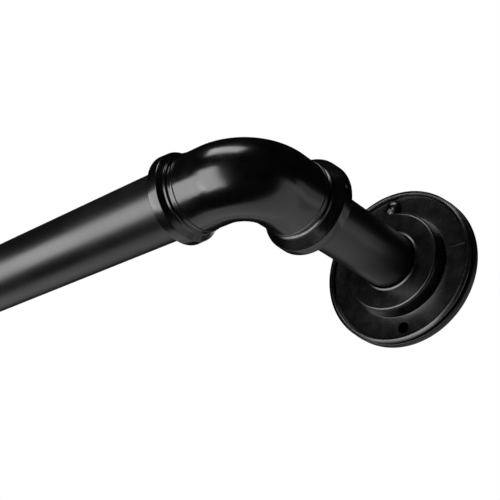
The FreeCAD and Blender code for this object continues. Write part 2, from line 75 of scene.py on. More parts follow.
# sizes and places of the frame's nodes; tops and rims are distances from the wall or the corner
ROD_RADIUS = box_size("outer_tube").z / 2
THIN_RADIUS = box_size("inner_tube").z / 2
CORNER = Vector((box_middle("right_flange").x, box_middle("outer_tube").y, 0))
LEFT_SEAT = Matrix.Translation((box_middle("left_flange").x, 0, 0)) @ Matrix.Rotation(math.pi, 4, "Y")
ROD_RIM = -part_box("right_elbow")[0].x
ARM_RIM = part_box("right_elbow")[1].y - CORNER.y
ROD_BAND_RADIUS = CORNER.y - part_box("right_elbow")[0].y
ARM_BAND_RADIUS = box_size("right_elbow").z / 2
SOCKET_FLOOR = -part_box("outer_tube")[1].x
PLATE_RADIUS = box_size("right_wall_plate").z / 2
PLATE_FRONT = -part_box("right_wall_plate")[0].y
RIM_RADIUS = box_size("right_flange").z / 2
MOUTH_TOP = -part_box("right_flange")[0].y
SCREW_RING = box_middle("right_wall_screw").z
HEAD_RADIUS = box_size("right_wall_screw").x / 2
HEAD_TOP = -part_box("right_wall_screw")[0].y
SCREW_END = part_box("right_wall_screw")[1].y


# ---------- sizes and finishes

def length(name, note, metres):
    return FloatProperty(name=name, description=note, default=metres, min=0, subtype="DISTANCE",
                         unit="LENGTH", precision=5)


def small(name, note, millimetres):
    return length(name, note, millimetres * MM)


def share(name, note, default):
    return FloatProperty(name=name, description=note, default=default, min=0, max=1,
                         subtype="FACTOR")


def angle(name, note, degrees):
    return FloatProperty(name=name, description=note, default=math.radians(degrees),
                         subtype="ANGLE", unit="ROTATION")


def tint(name, note, default):
    return FloatVectorProperty(name=name, description=note, subtype="COLOR", size=3, min=0, max=1,
                               default=default)


def count(name, note, default):
    return IntProperty(name=name, description=note, default=default, min=4)


class TubeSizes(bpy.types.PropertyGroup):
    wall: small("Wall", "Thickness of every tube's wall", 0.8)
    edge: small("Edge", "Broken edge at each tube's end", 0.2)
    segments: count("Segments", "Faces round a tube", 128)


class ElbowSizes(bpy.types.PropertyGroup):
    body_radius: small("Body radius", "Round body of the elbow", 14)
    bend_radius: small("Bend radius", "Centre line of the bend", 15)
    fit: length("Fit", "Gap between a tube and its socket", FIT)
    bead: small("Bead", "First small ring along the leg", 1.2)
    groove: small("Groove", "Groove along the leg", 1.3)
    groove_depth: small("Groove depth", "Groove below the body", 0.5)
    ring: small("Ring", "Second small ring along the leg", 1.2)
    ring_rise: small("Ring rise", "Small rings above the body", 0.35)
    rod_cone: small("Rod cone", "Step between ring and band at the rod", 1.5)
    arm_cone: small("Arm cone", "Step between ring and band at the standoff", 2.7)
    band: small("Band", "Wide band along the leg", 3.9)
    ring_draft: small("Ring draft", "Slope of the second ring's side in the groove", 0.45)
    taper: small("Taper", "How much the band grows towards its rim", 0.15)
    edge: small("Edge", "Small rounds of the casting", 0.22)
    band_edge: small("Band edge", "Round on the band's front", 0.5)
    nib: small("Nib", "Small mark that the mould's gate leaves on the standoff band", 0.55)
    bend_steps: count("Bend steps", "Rings in the bend", 36)
    segments: count("Segments", "Faces round the elbow", 128)


class FlangeSizes(bpy.types.PropertyGroup):
    face: small("Face", "Wall to the flange's face", 4.3)
    hub_rise: small("Hub rise", "Hub above the face", 6.5)
    hub_radius: small("Hub radius", "Hub at its top", 20.5)
    foot_radius: small("Foot radius", "Hub where it meets the face", 21.35)
    rim_width: small("Rim width", "Rim bead across", 2.1)
    rim_lift: small("Rim lift", "Rim bead's underside above the face", 0.5)
    rim_rise: small("Rim rise", "Rim bead's crest above the face", 2.1)
    rim_slope: small("Rim slope", "How far the crest stands above the bead's outer wall", 0.75)
    undercut: small("Undercut", "Neck behind the rim bead, inside its edge", 1.2)
    dish: small("Dish", "How hollow the face is", 0.25)
    hub_edge: small("Hub edge", "Round on the hub's top", 1.1)
    foot_fillet: small("Foot fillet", "Fillet between hub and face", 0.15)
    mouth_width: small("Mouth width", "Raised edge round the hub's mouth, across", 1.2)
    mouth_gap: small("Mouth gap", "Dark gap inside the raised edge", 0.3)
    hole_radius: small("Hole radius", "Wall screw hole", 2.25)
    hole_edge: small("Hole edge", "Broken edge of a hole", 0.1)
    line_height: small("Line height", "Casting line above the centre", 1.2)
    line_width: small("Line width", "Casting line", 0.4)
    line_margin: small("Line margin", "Casting line clear of the hub", 1)
    plate_edge: small("Plate edge", "Round on the wall plate's front", 0.5)
    segments: count("Segments", "Faces round a flange", 192)


class FastenerSizes(bpy.types.PropertyGroup):
    head_edge: small("Head edge", "Straight edge of a wall screw's head", 0.9)
    shank_radius: small("Shank radius", "Plain shank under the head", 1.7)
    thread_radius: small("Thread radius", "Crest of a wall screw's thread", 2.1)
    root_radius: small("Root radius", "Root of a wall screw's thread", 1.45)
    thread_top: small("Thread top", "Plain shank below the head's seat", 4.6)
    pitch: small("Pitch", "Wall screw thread", 1.7)
    point: small("Point", "Tapered point of a wall screw", 4.5)
    cross_span: small("Cross span", "Cross recess, end to end", 4.2)
    cross_width: small("Cross width", "Cross recess, one arm", 1)
    cross_depth: small("Cross depth", "Cross recess", 1.6)
    set_pitch: small("Set screw pitch", "Set screw thread", 0.5)
    key_depth: small("Key depth", "Hexagon socket of a set screw", 1.3)
    hole_gap: length("Hole gap", "Gap round a set screw", FIT)


class FittingSizes(bpy.types.PropertyGroup):
    lip: small("Lip", "Mouth ring's lip along the tube", 1.5)
    lip_edge: small("Lip edge", "Rounds on the lip", 0.5)
    gap: length("Gap", "Running gap of the plastic parts", FIT)
    slit: small("Slit", "Slit in the glide sleeve", 2)


class Finishes(bpy.types.PropertyGroup):
    coat: tint("Coat", "Black powder coat", (0.0004, 0.0004, 0.00045))
    coat_worn: tint("Thin coat", "Coat where it lies thin", (0.0012, 0.0012, 0.0013))
    steel: tint("Black steel", "Blackened set screws", (0.06, 0.06, 0.065))
    steel_worn: tint("Worn steel", "Steel where the black is thin", (0.108, 0.108, 0.117))
    plastic: tint("Plastic", "Moulded plastic fittings", (0.012, 0.012, 0.012))
    plastic_worn: tint("Thin plastic", "Plastic in its paler patches", (0.02, 0.02, 0.02))
    tube_gloss: share("Tube roughness", "Roughness of the coat on the tubes", 0.34)
    cast_gloss: share("Casting roughness", "Roughness of the coat on the castings", 0.21)
    plate_shine: share("Plate shine", "Mirror strength of the plate paint", 0.22)


class Studio(bpy.types.PropertyGroup):
    azimuth: angle("Azimuth", "Camera round the corner of the rod", 39.1)
    elevation: angle("Elevation", "Camera above the horizon", -27.04)
    distance: length("Distance", "Camera from the corner of the rod", 0.29033)
    drop: length("Drop", "How far the camera aims below the corner", 0.02629)
    aside: length("Aside", "How far the camera aims beside the corner", 0.00035)
    lens: FloatProperty(name="Lens", description="Focal length in millimetres", default=64, min=1)
    table_drop: length("Table drop", "Pale panels below the rod", 0.45)
    table_width: length("Table width", "Pale panels along the rod", 4.4)
    floor_drop: length("Floor drop", "Floor below the rod", 1.3)
    floor_radius: length("Floor radius", "How far the floor reaches", 30)


# ---------- modelling by hand

CORNER_STEPS = 5
CLOSE = 1e-6
SHARP = math.radians(38)
DRILL_SEGMENTS = 48
HELIX_STEPS = 32
# a thread's flank as a share of its depth, its flat crest as a share of its pitch, and how far
# the point of a screw closes
FLANK = 0.55
FLAT = 0.12
TAPER = 0.94


def rounded(corners):
    """Outline points through corners (radius, place, round), each round made an arc."""
    points = []
    for number, (across, along, size) in enumerate(corners):
        here = Vector((across, along, 0))
        if not size:
            points.append(here)
            continue
        before = corners[number - 1]
        after = corners[(number + 1) % len(corners)]
        back = (Vector((before[0], before[1], 0)) - here).normalized()
        onward = (Vector((after[0], after[1], 0)) - here).normalized()
        half = back.angle(onward) / 2
        centre = here + (back + onward).normalized() * (size / math.sin(half))
        first = here + back * (size / math.tan(half)) - centre
        last = here + onward * (size / math.tan(half)) - centre
        for step in range(CORNER_STEPS + 1):
            points.append(centre + first.slerp(last, step / CORNER_STEPS).normalized() * size)
    return [(point.x, point.y) for point in points]


def arc(centre, radius, start, finish, steps):
    """Points on an arc in the (radius, place) plane, angles in degrees."""
    turns = [math.radians(start + (finish - start) * step / steps) for step in range(steps + 1)]
    return [(centre[0] + radius * math.cos(turn), centre[1] + radius * math.sin(turn))
            for turn in turns]


def deselect():
    if bpy.context.object and bpy.context.object.mode != "OBJECT":
        bpy.ops.object.mode_set(mode="OBJECT")
    bpy.ops.object.select_all(action="DESELECT")


def pick(piece):
    deselect()
    piece.select_set(True)
    bpy.context.view_layer.objects.active = piece


def choose(piece, kind, test):
    """Enters edit mode with only the faces or corners that pass a test selected."""
    pick(piece)
    bpy.ops.object.mode_set(mode="EDIT")
    bpy.ops.mesh.select_mode(type=kind)
    bpy.ops.mesh.select_all(action="DESELECT")
    bpy.ops.object.mode_set(mode="OBJECT")
    for item in piece.data.polygons if kind == "FACE" else piece.data.vertices:
        item.select = test(item)
    bpy.ops.object.mode_set(mode="EDIT")


def settle(piece, seat=None):
    """Moves the piece to its seat and puts that place into its mesh."""
    if seat is not None:
        piece.matrix_world = seat
    pick(piece)
    bpy.ops.object.transform_apply(location=True, rotation=True, scale=True)


def first_ring(name, radius, spot, axis, segments):
    """A bare circle about an axis, left in edit mode with all of it selected."""
    deselect()
    turn = UPRIGHT.rotation_difference(axis).to_euler()
    bpy.ops.mesh.primitive_circle_add(vertices=segments, radius=radius, fill_type="NOTHING",
                                      location=spot, rotation=turn)
    piece = bpy.context.object
    piece.name = piece.data.name = name
    settle(piece)
    bpy.ops.object.mode_set(mode="EDIT")
    bpy.ops.mesh.select_mode(type="EDGE")
    bpy.ops.mesh.select_all(action="SELECT")
    return piece


def pull_ring(radius, spot, axis, new_radius, new_spot):
    """Extrudes the selected ring to a new place and radius on its axis."""
    bpy.ops.mesh.extrude_edges_move(TRANSFORM_OT_translate={"value": new_spot - spot})
    factor = new_radius / radius
    size = [1 if abs(part) > 0.5 else factor for part in axis]
    bpy.ops.transform.resize(value=size, center_override=new_spot)


def pull_along(outline, axis, origin):
    """Pulls the selected ring through the rest of an outline; the first point is where it is."""
    for (radius, place), (new_radius, new_place) in zip(outline, outline[1:]):
        pull_ring(radius, origin + axis * place, axis, new_radius, origin + axis * new_place)


def modify(piece, kind, **settings):
    """Adds a modifier with these settings and applies it."""
    pick(piece)
    bpy.ops.object.modifier_add(type=kind)
    change = piece.modifiers[-1]
    for title, setting in settings.items():
        setattr(change, title, setting)
    bpy.ops.object.modifier_apply(modifier=change.name)


def block(spot, size):
    """A box about its middle, to join to a piece or cut from it."""
    deselect()
    bpy.ops.mesh.primitive_cube_add(size=1, location=spot, scale=size)
    piece = bpy.context.object
    settle(piece)
    return piece


def tidy(piece):
    """Merges seams, points every face outwards and smooths all but its sharp edges."""
    if bpy.context.object.mode != "EDIT":
        pick(piece)
        bpy.ops.object.mode_set(mode="EDIT")
    bpy.ops.mesh.select_all(action="SELECT")
    bpy.ops.mesh.remove_doubles(threshold=CLOSE)
    bpy.ops.mesh.normals_make_consistent(inside=False)
    bpy.ops.object.mode_set(mode="OBJECT")
    pick(piece)
    bpy.ops.object.shade_smooth_by_angle(angle=SHARP)
    return piece


def turned(name, outline, segments, axis=UPRIGHT, origin=ORIGIN, ring=True):
    """A turning: a ring pulled through (radius, place) points, closed on itself or by its ends."""
    piece = first_ring(name, outline[0][0], origin + axis * outline[0][1], axis, segments)
    if not ring:
        bpy.ops.mesh.edge_face_add()
    pull_along(outline + outline[:1] if ring else outline, axis, origin)
    if not ring:
        bpy.ops.mesh.edge_face_add()
    return tidy(piece)


def combine(piece, tool, operation):
    """Applies a boolean with another solid, which is used up."""
    modify(piece, "BOOLEAN", operation=operation, solver="EXACT", object=tool)
    bpy.data.objects.remove(tool)
    return tidy(piece)


def drilled(piece, radius, edge, mouth, axis, depth):
    """Drills a round hole with a broken edge, from its mouth on a surface against the axis."""
    flare = radius + edge
    above = 4 * edge
    outline = [(radius, -depth), (radius, -edge), (flare, 0), (flare, above)]
    drill = turned("drill", outline, DRILL_SEGMENTS, axis, mouth, ring=False)
    return combine(piece, drill, "DIFFERENCE")


def threaded(name, crest, root, pitch, size, point=0):
    """A threaded bar along Z from 0 down to -size; a screw's point, if it has one, is tapered."""
    deselect()
    bpy.ops.mesh.primitive_circle_add(vertices=3, radius=crest, fill_type="NOTHING")
    bar = bpy.context.object
    bar.name = bar.data.name = name
    bpy.ops.object.mode_set(mode="EDIT")
    bpy.ops.mesh.select_mode(type="VERT")
    bpy.ops.mesh.select_all(action="SELECT")
    bpy.ops.mesh.merge(type="CENTER")
    bpy.ops.transform.translate(value=(root, 0, 0))
    # one tooth of the thread, spun longer than the bar and cut at both ends
    land = crest - root
    flank = land * FLANK
    flat = pitch * FLAT
    for across, up in ((0, pitch - 2 * flank - flat), (land, flank), (0, flat), (-land, flank)):
        bpy.ops.mesh.extrude_vertices_move(TRANSFORM_OT_translate={"value": (across, 0, up)})
    bpy.ops.mesh.select_all(action="SELECT")
    turns = math.ceil(size / pitch) + 2
    bpy.ops.transform.translate(value=(0, 0, -pitch * (turns - 1) - pitch / 2))
    modify(bar, "SCREW", axis="Z", screw_offset=pitch, iterations=turns, steps=HELIX_STEPS,
           render_steps=HELIX_STEPS)
    tidy(bar)
    bpy.ops.object.mode_set(mode="EDIT")
    for place, outward in ((0, 1), (-size, -1)):
        bpy.ops.mesh.select_all(action="SELECT")
        bpy.ops.mesh.bisect(plane_co=(0, 0, place), plane_no=(0, 0, outward), use_fill=True,
                            clear_outer=True, threshold=CLOSE)
    bpy.ops.object.mode_set(mode="OBJECT")
    if point:
        settle(bar, Matrix.Translation((0, 0, size - point)))
        modify(bar, "SIMPLE_DEFORM", deform_method="TAPER", deform_axis="Z",
               limits=(0, point / size), factor=TAPER)
        settle(bar, Matrix.Translation((0, 0, point - size)))
    return tidy(bar)


def copied(piece, name, seat):
    """A copy with its own mesh, settled at another seat."""
    pick(piece)
    bpy.ops.object.duplicate(linked=False)
    copy = bpy.context.object
    copy.name = copy.data.name = name
    settle(copy, seat)
    return copy


def show(piece, node, body, finish):
    """Finishes a piece and puts it on its body in the place of its node."""
    piece.data.materials.clear()
    piece.data.materials.append(finishes()[finish])
    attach(piece, body)
    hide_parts(node)


def both_ends(piece, node, finish):
    """Shows a right-hand piece and its left-hand copy."""
    copy = copied(piece, piece.name.replace("right_", "left_"), LEFT_SEAT)
    show(piece, node, BODY_OF["right"], finish)
    show(copy, node.replace("right_", "left_"), BODY_OF["left"], finish)


# ---------- finishes

def effect(name, inputs, output):
    """A node group on Object coordinates; its first input is the size of its pattern."""
    group = bpy.data.node_groups.new(name, "ShaderNodeTree")
    for title, default in inputs:
        socket = group.interface.new_socket(title, in_out="INPUT", socket_type="NodeSocketFloat")
        socket.default_value = default
    group.interface.new_socket(output, in_out="OUTPUT", socket_type="NodeSocketFloat")
    given = group.nodes.new("NodeGroupInput")
    result = group.nodes.new("NodeGroupOutput")
    pattern = {"Vector": group.nodes.new("ShaderNodeTexCoord").outputs["Object"],
               "Scale": maths(group, "DIVIDE", 1.0, given.outputs[0])}
    return group, given, result.inputs[0], pattern


def add_node(tree, kind, settings=None, **inputs):
    """Adds a node with its settings. Inputs are numbers or links, by socket name or as at0, at1."""
    made = tree.nodes.new(kind)
    for title, setting in (settings or {}).items():
        setattr(made, title, setting)
    for title, given in inputs.items():
        place = int(title[2:]) if title.startswith("at") else title.replace("_", " ")
        socket = made.inputs[place]
        if isinstance(given, bpy.types.NodeSocket):
            tree.links.new(given, socket)
        else:
            socket.default_value = given
    return made


def maths(tree, operation, first, second):
    made = add_node(tree, "ShaderNodeMath", {"operation": operation}, at0=first, at1=second)
    return made.outputs[0]


# how many times finer than the waves the grain is
FINER = 4.3


def orange_peel_group():
    """The soft waves of a baked powder coat, with its finer grain."""
    inputs = [("Cell", 1.5 * MM), ("Grain", 0.3)]
    group, given, result, pattern = effect("Orange Peel", inputs, "Height")
    waves = add_node(group, "ShaderNodeTexNoise", **pattern, Detail=1.0)
    finer = maths(group, "MULTIPLY", pattern["Scale"], FINER)
    fine = add_node(group, "ShaderNodeTexNoise", Vector=pattern["Vector"], Scale=finer, Detail=2.0)
    grain = maths(group, "MULTIPLY", fine.outputs["Fac"], given.outputs["Grain"])
    group.links.new(maths(group, "ADD", waves.outputs["Fac"], grain), result)
    return group


def mottle_group():
    """Slow, uneven patches, as where a coat has baked a little more or less."""
    inputs = [("Patch", 12 * MM), ("Low", 0.4), ("High", 0.62)]
    group, given, result, pattern = effect("Mottle", inputs, "Mask")
    patches = add_node(group, "ShaderNodeTexNoise", **pattern, Detail=4.0, Roughness=0.6)
    spread = add_node(group, "ShaderNodeMapRange", Value=patches.outputs["Fac"],
                      From_Min=given.outputs["Low"], From_Max=given.outputs["High"])
    group.links.new(spread.outputs["Result"], result)
    return group


def dust_group():
    """Sparse fine specks of dust lying on the surface."""
    inputs = [("Spacing", 4 * MM), ("Speck", 0.06)]
    group, given, result, pattern = effect("Dust", inputs, "Mask")
    cells = add_node(group, "ShaderNodeTexVoronoi", **pattern, Randomness=1.0)
    specks = maths(group, "LESS_THAN", cells.outputs["Distance"], given.outputs["Speck"])
    group.links.new(specks, result)
    return group


def place_group(tree, group, **inputs):
    return add_node(tree, "ShaderNodeGroup", {"node_tree": group}, **inputs)


# places of the colour sockets among those of a Mix node
COLOUR_A, COLOUR_B, COLOUR_OUT = 6, 7, 2
# how much of the second colour a patch shows, beside a speck's whole
PATCH_STRENGTH = 0.5


def coat(groups, name, colours, roughness, spread, cell, depth, patch):
    """A finish whose colour and gloss vary in patches, with specks of dust and slight waves.
    Cell and depth are the waves' size and height, patch the patches' size, in millimetres."""
    material = bpy.data.materials.new(name)
    material.use_nodes = True
    tree = material.node_tree
    shader = tree.nodes["Principled BSDF"]
    patches = place_group(tree, groups["mottle"], Patch=patch * MM)
    specks = place_group(tree, groups["dust"])
    peel = place_group(tree, groups["peel"], Cell=cell * MM)
    thinned = maths(tree, "MULTIPLY", patches.outputs["Mask"], PATCH_STRENGTH)
    mask = maths(tree, "MAXIMUM", thinned, specks.outputs["Mask"])
    shade = add_node(tree, "ShaderNodeMix", {"data_type": "RGBA"}, Factor=mask)
    for socket, colour in zip((COLOUR_A, COLOUR_B), colours):
        shade.inputs[socket].default_value = (*colour, 1)
    tree.links.new(shade.outputs[COLOUR_OUT], shader.inputs["Base Color"])
    gloss = add_node(tree, "ShaderNodeMapRange", Value=patches.outputs["Mask"],
                     To_Min=roughness - spread, To_Max=roughness + spread)
    tree.links.new(gloss.outputs["Result"], shader.inputs["Roughness"])
    bump = add_node(tree, "ShaderNodeBump", Distance=depth * MM, Height=peel.outputs["Height"])
    tree.links.new(bump.outputs["Normal"], shader.inputs["Normal"])
    return material


MATERIALS = {}


def finishes():
    """The finishes, made once."""
    if MATERIALS:
        return MATERIALS
    look = bpy.context.scene.rod_finishes
    groups = {"peel": orange_peel_group(), "mottle": mottle_group(), "dust": dust_group()}
    black = (look.coat, look.coat_worn)
    steel = (look.steel, look.steel_worn)
    plastic = (look.plastic, look.plastic_worn)
    # finish, then name, colours, roughness, spread, cell, depth and patch
    kinds = (
        ("tube", "Tube powder coat", black, look.tube_gloss, 0.02, 1.6, 0.004, 20),
        ("cast", "Casting powder coat", black, look.cast_gloss, 0.03, 1.3, 0.007, 9),
        ("flange", "Flange powder coat", black, look.cast_gloss + 0.05, 0.02, 0.9, 0.012, 4),
        ("plate", "Plate paint", black, 0.33, 0.05, 0.8, 0.004, 6),
        ("screw", "Screw paint", black, 0.25, 0.05, 0.6, 0.003, 2),
        ("steel", "Blackened steel", steel, 0.35, 0.08, 0.4, 0.002, 2),
        ("plastic", "Moulded plastic", plastic, 0.45, 0.05, 0.5, 0.005, 4),
    )
    for finish, *looks in kinds:
        MATERIALS[finish] = coat(groups, *looks)
    for name, socket, value in (("plate", "Specular IOR Level", look.plate_shine),
                                ("steel", "Metallic", 0.9)):
        MATERIALS[name].node_tree.nodes["Principled BSDF"].inputs[socket].default_value = value
    return MATERIALS


# ---------- operators

class CURTAINROD_OT_tubes(bpy.types.Operator):
    """Outer tube, inner tube and the two standoff tubes, each with broken edges"""
    bl_idname = "curtain_rod.tubes"
    bl_label = "Tubes"

    def execute(self, context):
        sizes = context.scene.rod_tubes
        seats = (("outer_tube", ALONG, "fixed_end"), ("inner_tube", ALONG, "sliding_end"),
                 ("right_standoff_tube", TO_WALL, "fixed_end"),
                 ("left_standoff_tube", TO_WALL, "sliding_end"))
        for name, axis, body in seats:
            size = box_size(name)
            radius = size.z / 2
            half = size.dot(axis) / 2
            bore = radius - sizes.wall
            corners = [(radius, -half), (radius, half), (bore, half), (bore, -half)]
            outline = rounded([(*corner, sizes.edge) for corner in corners])
            tube = turned(name + "_coated", outline, sizes.segments, axis, box_middle(name))
            show(tube, name, body, "tube")
        return {"FINISHED"}


class CURTAINROD_OT_elbows(bpy.types.Operator):
    """The two banded elbows, hollow, with a socket at each mouth"""
    bl_idname = "curtain_rod.elbows"
    bl_label = "Elbows"

    # the nib: back from the rim as a share of the band, its shape, and how high it sits
    NIB_BACK = 0.85
    NIB_SHAPE = (0.7, 1, 1.2)
    NIB_HEIGHT = 1 * MM

    def collar(self, sizes, rim, band_radius, cone_width):
        """Body, two small rings, cone and band, from the bend out to the rim."""
        body = sizes.body_radius
        band = rim - sizes.band
        cone = band - cone_width
        ring = cone - sizes.ring
        groove = ring - sizes.groove
        bead = groove - sizes.bead
        floor = body - sizes.groove_depth
        top = body + sizes.ring_rise
        edge = sizes.edge
        return [
            (body, sizes.bend_radius, 0),
            (body, bead, edge / 3),
            (top, bead, edge),
            (top, groove, edge),
            (floor, groove, edge / 2),
            (floor, ring, edge / 2),
            (top, ring + sizes.ring_draft, edge),
            (top, cone, edge),
            (band_radius - sizes.taper, band, sizes.band_edge),
            (band_radius, rim, edge),
        ]

    def execute(self, context):
        sizes = context.scene.rod_elbows
        bore = THIN_RADIUS - context.scene.rod_tubes.wall
        lips = {}
        legs = (("rod", ROD_RIM, ROD_BAND_RADIUS, sizes.rod_cone, ROD_RADIUS),
                ("arm", ARM_RIM, ARM_BAND_RADIUS, sizes.arm_cone, THIN_RADIUS))
        for leg, rim, band, cone_width, tube in legs:
            socket = tube + sizes.fit
            corners = self.collar(sizes, rim, band, cone_width) + [
                (socket, rim, sizes.edge),
                (socket, SOCKET_FLOOR, 0),
                (bore, SOCKET_FLOOR, 0),
                (bore, sizes.bend_radius, 0),
            ]
            lips[leg] = rounded(corners)
        to_rod = -ALONG
        centre = Vector((-sizes.bend_radius, sizes.bend_radius, 0))
        start = list(reversed(lips["rod"]))
        turn = math.pi / 2
        # from the bore at the bend out through the rod's mouth and back over its collar, round
        # the bend, over the other collar and in through its mouth, and round the bend inside
        piece = first_ring("right_elbow_casting", start[0][0], to_rod * start[0][1], ALONG,
                           sizes.segments)
        pull_along(start, to_rod, ORIGIN)
        bpy.ops.mesh.spin(steps=sizes.bend_steps, angle=turn, center=centre, axis=(0, 0, -1))
        pull_along(lips["arm"], TO_WALL, ORIGIN)
        bpy.ops.mesh.spin(steps=sizes.bend_steps, angle=turn, center=centre, axis=(0, 0, 1))
        tidy(piece)
        settle(piece, Matrix.Translation(CORNER))
        self.gate_mark(piece, sizes)
        fasteners = context.scene.rod_fasteners
        for name, axis, top in (("right_rod_set_screw", TO_WALL, ROD_BAND_RADIUS),
                                ("right_arm_set_screw", -ALONG, ARM_BAND_RADIUS)):
            middle = box_middle(name)
            radius = box_size(name).z / 2 + fasteners.hole_gap
            off = (middle - CORNER).dot(axis)
            mouth = middle + axis * (top - sizes.taper / 2 - off)
            drilled(piece, radius, sizes.edge, mouth, axis, top / 2)
        both_ends(piece, "right_elbow", "cast")
        return {"FINISHED"}

    def gate_mark(self, piece, sizes):
        """A small flattened nib on the outside of the standoff band."""
        deselect()
        spot = CORNER + Vector((ARM_BAND_RADIUS - sizes.taper, ARM_RIM - self.NIB_BACK * sizes.band,
                                self.NIB_HEIGHT))
        bpy.ops.mesh.primitive_uv_sphere_add(segments=24, ring_count=12, radius=sizes.nib,
                                             location=spot, scale=self.NIB_SHAPE)
        nib = bpy.context.object
        settle(nib)
        combine(piece, nib, "UNION")


class CURTAINROD_OT_flanges(bpy.types.Operator):
    """The two cast flanges: hub, hollow face and rim bead"""
    bl_idname = "curtain_rod.flanges"
    bl_label = "Flanges"

    # rounds and small steps of the rim bead and of the hub's mouth; the crest's place is a
    # share of the rim's width
    BACK_ROUND = 0.15 * MM
    WALL_ROUND = 0.2 * MM
    WALL_RISE = 0.3 * MM
    SHOULDER_ROUND = 0.3 * MM
    CREST_ROUND = 0.4 * MM
    CREST_PLACE = 0.4
    MOUTH_SIDE = 0.25 * MM
    MOUTH_CREST = 0.2 * MM
    MOUTH_WALL = 0.15 * MM
    MOUTH_FOOT = 0.1 * MM
    MOUTH_DROP = 0.2 * MM
    DISH_STEPS = 24
    FACE_MARGIN = 0.05 * MM
    # where a screw hole's edge lies, as a share of the dish's depth
    HOLE_DEPTH = 0.9
    # the casting line above the face, its root above the wall plate, and the round of its
    # edges as a share of its width
    LINE_RISE = 0.05 * MM
    LINE_ROOT = 0.5 * MM
    LINE_ROUND = 0.3

    def outline(self, sizes):
        """Back, rim bead, hollow face, hub and the raised edge round its mouth."""
        face, outside = sizes.face, RIM_RADIUS
        inside = outside - sizes.rim_width
        neck = outside - sizes.undercut
        back = face + sizes.rim_lift
        crest = face + sizes.rim_rise
        shoulder = crest - sizes.rim_slope
        bore = THIN_RADIUS + FIT
        half = (inside - sizes.foot_radius) / 2
        swing = (half ** 2 + sizes.dish ** 2) / (2 * sizes.dish)
        reach = math.degrees(math.asin(half / swing))
        hollow = arc((inside - half, face - sizes.dish + swing), swing, 270 + reach, 270 - reach,
                     self.DISH_STEPS)
        rim = rounded([
            (bore, PLATE_FRONT, 0),
            (neck, PLATE_FRONT, 0),
            (neck, back, 0),
            ((neck + outside) / 2, back, self.BACK_ROUND),
            (outside, back + self.WALL_RISE, self.WALL_ROUND),
            (outside, shoulder, self.SHOULDER_ROUND),
            (inside + sizes.rim_width * self.CREST_PLACE, crest, self.CREST_ROUND),
            (inside, shoulder, self.SHOULDER_ROUND),
            (inside, face, 0),
        ])[:-1]
        hub_top = face + sizes.hub_rise
        gap = bore + sizes.mouth_gap
        foot = [(*point, 0) for point in hollow[-3:-1]]
        hub = rounded(foot + [
            (sizes.foot_radius, face, sizes.foot_fillet),
            (sizes.hub_radius, hub_top, sizes.hub_edge),
            (bore + sizes.mouth_width, hub_top, self.MOUTH_SIDE),
            (gap + self.MOUTH_WALL, MOUTH_TOP, self.MOUTH_CREST),
            (gap, hub_top, self.MOUTH_FOOT),
            (bore, hub_top - self.MOUTH_DROP, self.MOUTH_FOOT),
            (bore, PLATE_FRONT, 0),
        ])
        face_end = hub[len(foot)][0] + self.FACE_MARGIN
        return rim + [point for point in hollow if point[0] > face_end] + hub[len(foot):-1]

    def execute(self, context):
        sizes = context.scene.rod_flanges
        roomward = -TO_WALL
        piece = turned("right_flange_casting", self.outline(sizes), sizes.segments, roomward)
        self.casting_line(piece, sizes)
        for height in (SCREW_RING, -SCREW_RING):
            mouth = Vector((0, sizes.dish * self.HOLE_DEPTH - sizes.face, height))
            drilled(piece, sizes.hole_radius, sizes.hole_edge, mouth, roomward, MOUTH_TOP)
        name = "right_flange_set_screw"
        middle = box_middle(name)
        radius = box_size(name).z / 2 + context.scene.rod_fasteners.hole_gap
        at_screw = (sizes.hub_radius + sizes.foot_radius) / 2
        mouth = Vector((-at_screw, middle.y, middle.z))
        drilled(piece, radius, sizes.hole_edge, mouth, -ALONG, at_screw - THIN_RADIUS / 2)
        both_ends(piece, "right_flange", "flange")
        return {"FINISHED"}

    def casting_line(self, piece, sizes):
        """A faint raised line that the mould leaves on the face."""
        inside = RIM_RADIUS - sizes.rim_width
        start = sizes.foot_radius + sizes.line_margin
        finish = inside + sizes.rim_width / 4
        top = sizes.face + self.LINE_RISE
        bottom = PLATE_FRONT + self.LINE_ROOT
        middle = Vector(((start + finish) / 2, -(top + bottom) / 2, sizes.line_height))
        size = Vector((finish - start, top - bottom, sizes.line_width))
        line = block(middle, size)
        bpy.ops.object.mode_set(mode="EDIT")
        bpy.ops.mesh.select_all(action="SELECT")
        bpy.ops.mesh.bevel(offset=sizes.line_width * self.LINE_ROUND, segments=3, affect="EDGES")
        bpy.ops.object.mode_set(mode="OBJECT")
        combine(piece, line, "UNION")


